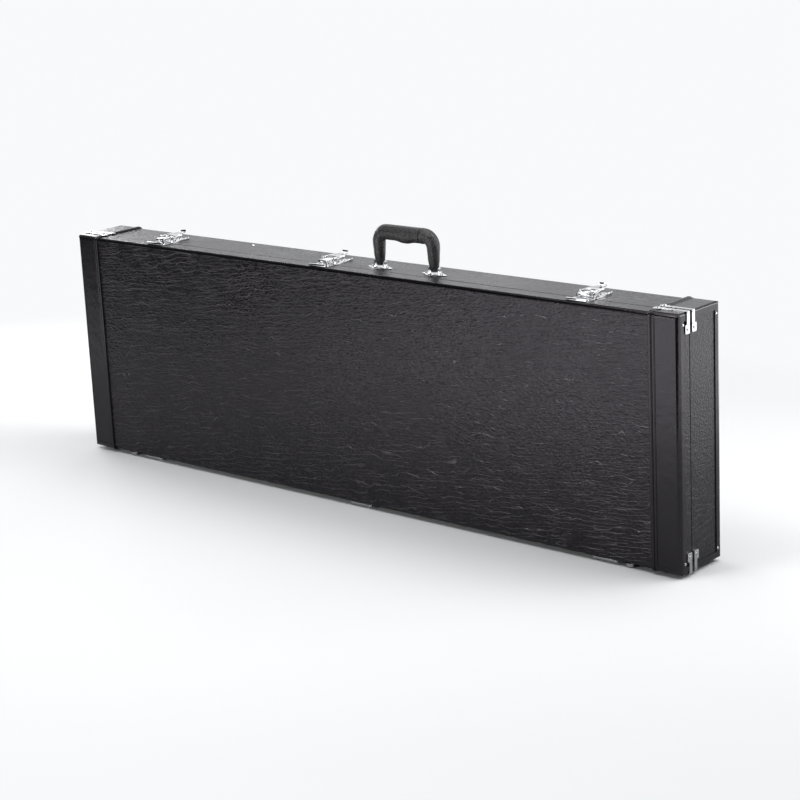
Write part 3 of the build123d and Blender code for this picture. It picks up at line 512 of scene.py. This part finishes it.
# %% Give every CAD node its finish
by_slot = {"grained_vinyl": grained_vinyl, "smooth_vinyl": smooth_vinyl, "plywood": plywood_flat,
           "plush_foam": plush, "plush_board": plush, "ribbon": ribbon,
           "handle_leatherette": leatherette, "chrome_plate": chrome_plate, "steel": strip_steel}
slot_of = {entry["node"]: entry["material_slot"] for entry in frame["record"]["subparts"]}
for name, node in frame["nodes"].items():
    finish = plywood_upright if "end_wall" in name else by_slot[slot_of[name]]
    node.data.materials.clear()
    node.data.materials.append(finish)

# %% [markdown]
# ## Edges on the pressed metal
#
# A press leaves every sheet edge slightly rounded, and those small rounds catch the lamps. The
# CAD parts have knife edges, so each pressed part is copied, its loose triangles are merged into
# flat faces, and the edges that remain are bevelled. The copy then stands for the CAD node.
# Rivets, nails, pins and feet are round already and stay as they are.

# %% Copy, merge and bevel
press_round, press_steps = 0.00022, 2
plush_round, plush_steps = 0.0011, 3


def body_of_node(name):
    """The body that a CAD node moves with."""
    return next(body for body, members in frame["record"]["behaviour"]["bodies"].items()
                if name in members)


def new_piece(name, mesh_shape, finish, body, smooth_under=40.0):
    """Turn a finished bmesh into a piece that rides on a body."""
    mesh = bpy.data.meshes.new(name)
    mesh_shape.normal_update()
    for face in mesh_shape.faces:
        face.smooth = True
    mesh_shape.to_mesh(mesh)
    mesh_shape.free()
    mesh.set_sharp_from_angle(angle=math.radians(smooth_under))
    mesh.materials.append(finish)
    piece = bpy.data.objects.new(name, mesh)
    scene.collection.objects.link(piece)
    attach(piece, body)
    return piece


def merged_copy(node_name):
    """A CAD node's mesh as a closed shell, with its flat faces whole again."""
    shape = bmesh.new()
    shape.from_mesh(frame["nodes"][node_name].data)
    bmesh.ops.remove_doubles(shape, verts=shape.verts, dist=1e-6)
    bmesh.ops.dissolve_limit(shape, angle_limit=math.radians(0.5), verts=shape.verts,
                             edges=shape.edges)
    return shape


def rounded_copy(node_name, width, segments, finish, suffix):
    shape = merged_copy(node_name)
    corners = [edge for edge in shape.edges
               if len(edge.link_faces) == 2 and edge.calc_face_angle(0.0) > math.radians(30.0)]
    bmesh.ops.bevel(shape, geom=corners, offset=width, offset_type="OFFSET", segments=segments,
                    profile=0.5, affect="EDGES", clamp_overlap=True, material=-1)
    piece = new_piece(f"{node_name}_{suffix}", shape, finish,
                      body_of_node(node_name))
    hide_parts(node_name)
    return piece


pressed = [name for name in frame["nodes"]
           if slot_of[name] == "chrome_plate"
           and not name.endswith(("_rivets", "_nails", "_feet", "_pins"))]
for name in sorted(pressed):
    rounded_copy(name, press_round, press_steps, chrome_plate, "pressed")
print("bevelled", len(pressed), "pressed parts")

# %% [markdown]
# The pocket's boards and the liner round the rim are thin wood with plush glued over them. Plush
# cannot turn a sharp corner, so their edges get a wider round than the metal's.

# %% Round the plush-covered boards
plush_boards = sorted(name for name in frame["nodes"] if slot_of[name] == "plush_board")
for name in plush_boards:
    rounded_copy(name, plush_round, plush_steps, plush, "covered")
print("covered boards:", plush_boards)

# %% [markdown]
# ## The handle
#
# The grip is leatherette sewn round padding on a steel strip. It is drawn as rings along the
# strip's path, up one leg, round the corner and across, and the rings are bridged into a skin.
# The bar swells towards the fingers, and one wrap ends in a joint near its right end, where the
# leather laps over and leaves a dark line.

# %% Measures of the handle, in metres
handle_middle_x, handle_y, case_top = 0.091, -0.003, 0.388
handle_half_spread = 0.055
bar_axis_up = 0.0587
handle_corner = 0.016
leg_end_up = 0.0044
leg_top_up = bar_axis_up - handle_corner
leg_width, bar_tall, bar_thick, bulge = 0.0196, 0.0246, 0.0215, 0.0028
# Each row: how far up the leg, and shares of the leg's width across and through.
leg_shares = ((0.0, 0.46, 0.46), (0.04, 0.62, 0.60), (0.22, 0.84, 0.78), (0.55, 0.98, 0.92),
              (1.0, 1.06, 1.07))
joint_place = 0.0335
# Each row: distance from the joint's place, and how loose the leather is there.
joint_rows = ((0.0024, 1.02), (0.0013, 1.03), (0.0010, 1.02), (0.0008, 0.78), (-0.0008, 0.78),
              (-0.0010, 0.975), (-0.0024, 1.0))


def between(table, share, column):
    """Read a table of rising first values at a share, smoothly between its rows."""
    for low, high in zip(table, table[1:]):
        if share <= high[0]:
            t = (share - low[0]) / (high[0] - low[0])
            t = t * t * (3 - 2 * t) if low[0] > 0.1 else t
            return low[column] + (high[column] - low[column]) * t
    return table[-1][column]


def smooth_step(value, low, high):
    t = min(1.0, max(0.0, (value - low) / (high - low)))
    return t * t * (3 - 2 * t)


# %% Rings along the grip


def leg_ring(share):
    up = leg_end_up + share * (leg_top_up - leg_end_up)
    return (handle_half_spread, up, 0.0, between(leg_shares, share, 1) * leg_width,
            between(leg_shares, share, 2) * leg_width)


def corner_ring(turn):
    share = turn / 90.0
    leg_tall = leg_shares[-1][1] * leg_width
    u = handle_half_spread - handle_corner * (1 - math.cos(math.radians(turn)))
    up = leg_top_up + handle_corner * math.sin(math.radians(turn))
    return (u, up, turn, leg_tall + (bar_tall - leg_tall) * share, bar_thick)


def bar_ring(u, loose=1.0):
    swell = bulge * (1 - smooth_step(abs(u), 0.002, 0.021))
    return (u, bar_axis_up - swell / 2, 90.0, (bar_tall + swell) * loose, bar_thick * loose)


half_bar = handle_half_spread - handle_corner
right = [leg_ring(n / 14) for n in range(15)] + [corner_ring(turn) for turn in range(9, 90, 9)]
left = [(-u, up, 180.0 - turn, tall, thick) for u, up, turn, tall, thick in reversed(right)]
joint = [bar_ring(joint_place + offset, loose) for offset, loose in joint_rows]
bar = [bar_ring(half_bar)] + joint + [bar_ring(0.001 * n) for n in range(30, -39, -3)]
rings = right + bar + left
print("the grip has", len(rings), "rings")

# %% Bridge the rings into the grip


def ring_frame(ring):
    """Where a ring stands: across the handle, outwards from the path, and along it."""
    u, up, turn, tall, thick = ring
    angle = math.radians(turn)
    along = Vector((-math.sin(angle), 0.0, math.cos(angle)))
    outward = Vector((math.cos(angle), 0.0, math.sin(angle)))
    centre = Vector((handle_middle_x + u, handle_y, case_top + up))
    return centre, outward, along, tall, thick


def ring_matrix(ring, grow=1.0):
    centre, outward, along, tall, thick = ring_frame(ring)
    columns = (Vector((0, 1, 0)) * thick / 2 * grow, outward * tall / 2 * grow, along)
    return Matrix.Translation(centre) @ Matrix(columns).transposed().to_4x4()


def bridge_rings(shape, matrices, segments):
    """A skin over rings, closed at both ends."""
    loops = []
    for matrix in matrices:
        made = bmesh.ops.create_circle(shape, segments=segments, radius=1.0, matrix=matrix)
        loops.append(list({edge for vert in made["verts"] for edge in vert.link_edges}))
    for one, two in zip(loops, loops[1:]):
        bmesh.ops.bridge_loops(shape, edges=one + two)
    bmesh.ops.holes_fill(shape, edges=loops[0] + loops[-1], sides=0)
    bmesh.ops.recalc_face_normals(shape, faces=shape.faces)


shape = bmesh.new()
matrices = [ring_matrix(ring) for ring in rings]
tucked = [ring_matrix(rings[0], 0.8), ring_matrix(rings[-1], 0.8)]
bridge_rings(shape, [tucked[0]] + matrices + [tucked[1]], 36)
grip = new_piece("handle_grip_leather", shape, leatherette, "handle", 60.0)
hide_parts("handle_grip")
print("grip faces:", len(grip.data.polygons))

# %% [markdown]
# The seam of the wrap runs along the front shoulder of the grip. Each stitch is a small capsule
# laid along the path, half sunk in the leather.

# %% Sew the grip
stitch_length, stitch_pitch, stitch_radius = 0.0024, 0.0038, 0.0005
shoulder_on_bar, shoulder_on_legs = 52.0, 12.0


def shoulder_point(ring):
    """The point of a ring on the front shoulder, where the seam runs."""
    centre, outward, _, tall, thick = ring_frame(ring)
    on_bar = 1 - abs(ring[2] - 90.0) / 90.0
    shoulder = math.radians(shoulder_on_legs + (shoulder_on_bar - shoulder_on_legs) * on_bar)
    side = Vector((0, -1, 0)) * math.cos(shoulder) * thick / 2
    return centre + side + outward * math.sin(shoulder) * tall / 2


seam = [shoulder_point(ring) for ring in rings[4:-4] if ring[3] > 0.94 * bar_tall or ring[2] != 90.0]
shape = bmesh.new()
run, count = 0.0, 0
for one, two in zip(seam, seam[1:]):
    gap = (two - one).length
    while run < gap:
        place = one.lerp(two, run / gap)
        turn_to = (two - one).to_track_quat("Z", "Y").to_matrix().to_4x4()
        size = Matrix.Diagonal((stitch_radius, stitch_radius, stitch_length / 2, 1.0))
        bmesh.ops.create_icosphere(shape, subdivisions=1, radius=1.0,
                                   matrix=Matrix.Translation(place) @ turn_to @ size)
        run += stitch_pitch
        count += 1
    run -= gap
stitches = new_piece("handle_stitches", shape, thread, "handle", 180.0)
print("stitches:", count)

# %% [markdown]
# ## The lining
#
# The foam blocks round the instrument are covered in plush. Foam held by cloth swells a little on
# its free sides and stays flat where it is pressed against wood. So each block starts from the
# CAD solid, a little smaller, is remeshed evenly, and is blown up by a short cloth simulation
# under pressure. No point may move further than a cap, nor leave the solid's own box.

# %% Blow up one block
swell_frames = 18
block_pressure = 4.0


def even_mesh(name, node_name, shrink, voxel):
    """The node's solid, shrunk towards its middle and remeshed in even squares."""
    shape = merged_copy(node_name)
    low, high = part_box(node_name)
    middle = (low + high) / 2
    size = high - low
    scale = Vector([max(0.4, 1 - 2 * shrink / side) for side in size])
    bmesh.ops.transform(shape, verts=shape.verts, matrix=Matrix.Translation(middle)
                        @ Matrix.Diagonal((*scale, 1.0)) @ Matrix.Translation(-middle))
    mesh = bpy.data.meshes.new(name)
    shape.to_mesh(mesh)
    shape.free()
    block = bpy.data.objects.new(name, mesh)
    scene.collection.objects.link(block)
    remesh = block.modifiers.new("even", "REMESH")
    remesh.mode = "VOXEL"
    remesh.voxel_size = voxel
    apply_modifiers(block)
    return block


def apply_modifiers(piece):
    """Replace a piece's mesh by what its modifiers make of it."""
    depsgraph = bpy.context.evaluated_depsgraph_get()
    done = bpy.data.meshes.new_from_object(piece.evaluated_get(depsgraph))
    piece.modifiers.clear()
    piece.data = done


def swell(block, pressure):
    cloth = block.modifiers.new("swell", "CLOTH")
    cloth.settings.effector_weights.gravity = 0.0
    cloth.settings.use_pressure = True
    cloth.settings.uniform_pressure_force = pressure
    cloth.settings.quality = 4
    cloth.point_cache.frame_start = 1
    cloth.point_cache.frame_end = swell_frames
    for number in range(1, swell_frames + 1):
        scene.frame_set(number)
    apply_modifiers(block)
    scene.frame_set(1)


def hold_back(block, before, cap, low, high):
    """Keep each point within a cap of where it started, and inside a box."""
    for vertex, start in zip(block.data.vertices, before):
        step = vertex.co - start
        if step.length > cap:
            step = step.normalized() * cap
        place = start + step
        vertex.co = [min(max(value, least), most) for value, least, most in zip(place, low, high)]


def blow_up(piece, pressure, cap, low, high):
    """Swell a piece and hold it back."""
    before = [vertex.co.copy() for vertex in piece.data.vertices]
    swell(piece, pressure)
    hold_back(piece, before, cap, low, high)


def cover_in_plush(piece, node_name):
    """Smooth a swollen piece, give it the plush and let it stand for its CAD node."""
    smooth = piece.modifiers.new("smooth", "SUBSURF")
    smooth.levels = smooth.render_levels = 1
    for face in piece.data.polygons:
        face.use_smooth = True
    piece.data.materials.clear()
    piece.data.materials.append(plush)
    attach(piece, body_of_node(node_name))
    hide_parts(node_name)


def foam_piece(node_name, voxel, cap):
    low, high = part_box(node_name)
    block = even_mesh(f"{node_name}_plush", node_name, cap * 0.8, voxel)
    blow_up(block, block_pressure, cap, low, high)
    cover_in_plush(block, node_name)
    return block


# %% Blow up every block
# Each block has the size of its squares and the cap on its swell, in metres.
blocks = {"neck_block_top": (0.008, 0.003), "neck_block_bottom": (0.007, 0.003),
          "head_block_top": (0.007, 0.003), "head_block_bottom": (0.007, 0.003),
          "body_pad_top": (0.005, 0.002), "body_pad_bottom": (0.005, 0.002),
          "body_pad_end": (0.005, 0.002), "neck_rest": (0.004, 0.002)}
for name, (voxel, cap) in blocks.items():
    piece = foam_piece(name, voxel, cap)
    print(name, len(piece.data.vertices), "points")

# %% [markdown]
# The lid's pad and the lining on the base's back are broad thin quilts. A remesh fine enough for
# their thickness would be far too heavy, so they are plain boxes cut into a grid, and the same
# simulation swells them.

# %% Make the two broad quilts
quilt_pressure = 3.0
quilt_spacing, quilt_cap = 0.014, 0.0022


def grid_box(name, low, high, spacing):
    """A closed box between two corners, cut into squares about a spacing apart."""
    size = high - low
    shape = bmesh.new()
    made = bmesh.ops.create_cube(shape, size=1.0)
    bmesh.ops.transform(shape, verts=made["verts"], matrix=Matrix.Translation((low + high) / 2)
                        @ Matrix.Diagonal((*size, 1.0)))
    for axis in range(3):
        normal = [0.0, 0.0, 0.0]
        normal[axis] = 1.0
        rows = max(2, round(size[axis] / spacing))
        for n in range(1, rows):
            cut = Vector(low)
            cut[axis] += size[axis] * n / rows
            geometry = shape.verts[:] + shape.edges[:] + shape.faces[:]
            bmesh.ops.bisect_plane(shape, geom=geometry, plane_co=cut, plane_no=normal)
    mesh = bpy.data.meshes.new(name)
    shape.to_mesh(mesh)
    shape.free()
    box = bpy.data.objects.new(name, mesh)
    scene.collection.objects.link(box)
    return box


def quilt(node_name, spacing, cap):
    low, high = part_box(node_name)
    inset = Vector((cap, cap * 0.6, cap))
    pad = grid_box(f"{node_name}_plush", low + inset, high - inset, spacing)
    blow_up(pad, quilt_pressure, cap, low, high)
    cover_in_plush(pad, node_name)
    return pad


for name in ("lid_padding", "back_lining"):
    piece = quilt(name, quilt_spacing, quilt_cap)
    print(name, len(piece.data.vertices), "points")

# %% [markdown]
# The pocket's lid has a doubled ribbon to lift it by. It is one strip bent over on itself: both
# ends are sewn to the lid's edge and the fold stands away from it.

# %% Fold the pull ribbon
tab_low, tab_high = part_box("pocket_pull_tab")
ribbon_width = tab_high.x - tab_low.x
ribbon_rise = tab_high.z - tab_low.z
ribbon_front, ribbon_back = tab_low.y - 0.0045, tab_high.y
ribbon_thick = 0.0005
profile = [(ribbon_back - 0.0003, tab_high.z - 0.001),
           (ribbon_back - 0.0004, tab_high.z - ribbon_rise * 0.35),
           (ribbon_back - 0.0005, tab_high.z - ribbon_rise * 0.7),
           (ribbon_back - 0.0012, tab_low.z + 0.001),
           (ribbon_back - 0.0028, tab_low.z),
           (ribbon_front + 0.0012, tab_low.z + 0.0012),
           (ribbon_front, tab_high.z - ribbon_rise * 0.7),
           (ribbon_front + 0.0006, tab_high.z - ribbon_rise * 0.4),
           (ribbon_front + 0.0026, tab_high.z - ribbon_rise * 0.12),
           (ribbon_back - 0.0015, tab_high.z - 0.0005)]
shape = bmesh.new()
previous = shape.verts.new((tab_low.x, *profile[0]))
edges = []
for y, z in profile[1:]:
    point = shape.verts.new((tab_low.x, y, z))
    edges.append(shape.edges.new((previous, point)))
    previous = point
drawn = bmesh.ops.extrude_edge_only(shape, edges=edges)
moved = [item for item in drawn["geom"] if isinstance(item, bmesh.types.BMVert)]
bmesh.ops.translate(shape, verts=moved, vec=(ribbon_width, 0.0, 0.0))
tab = new_piece("pocket_pull_ribbon", shape, ribbon, "pocket_lid", 180.0)
thicken = tab.modifiers.new("cloth", "SOLIDIFY")
thicken.thickness = ribbon_thick
thicken.offset = 0.0
curl = tab.modifiers.new("curl", "SUBSURF")
curl.levels = curl.render_levels = 2
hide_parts("pocket_pull_tab")
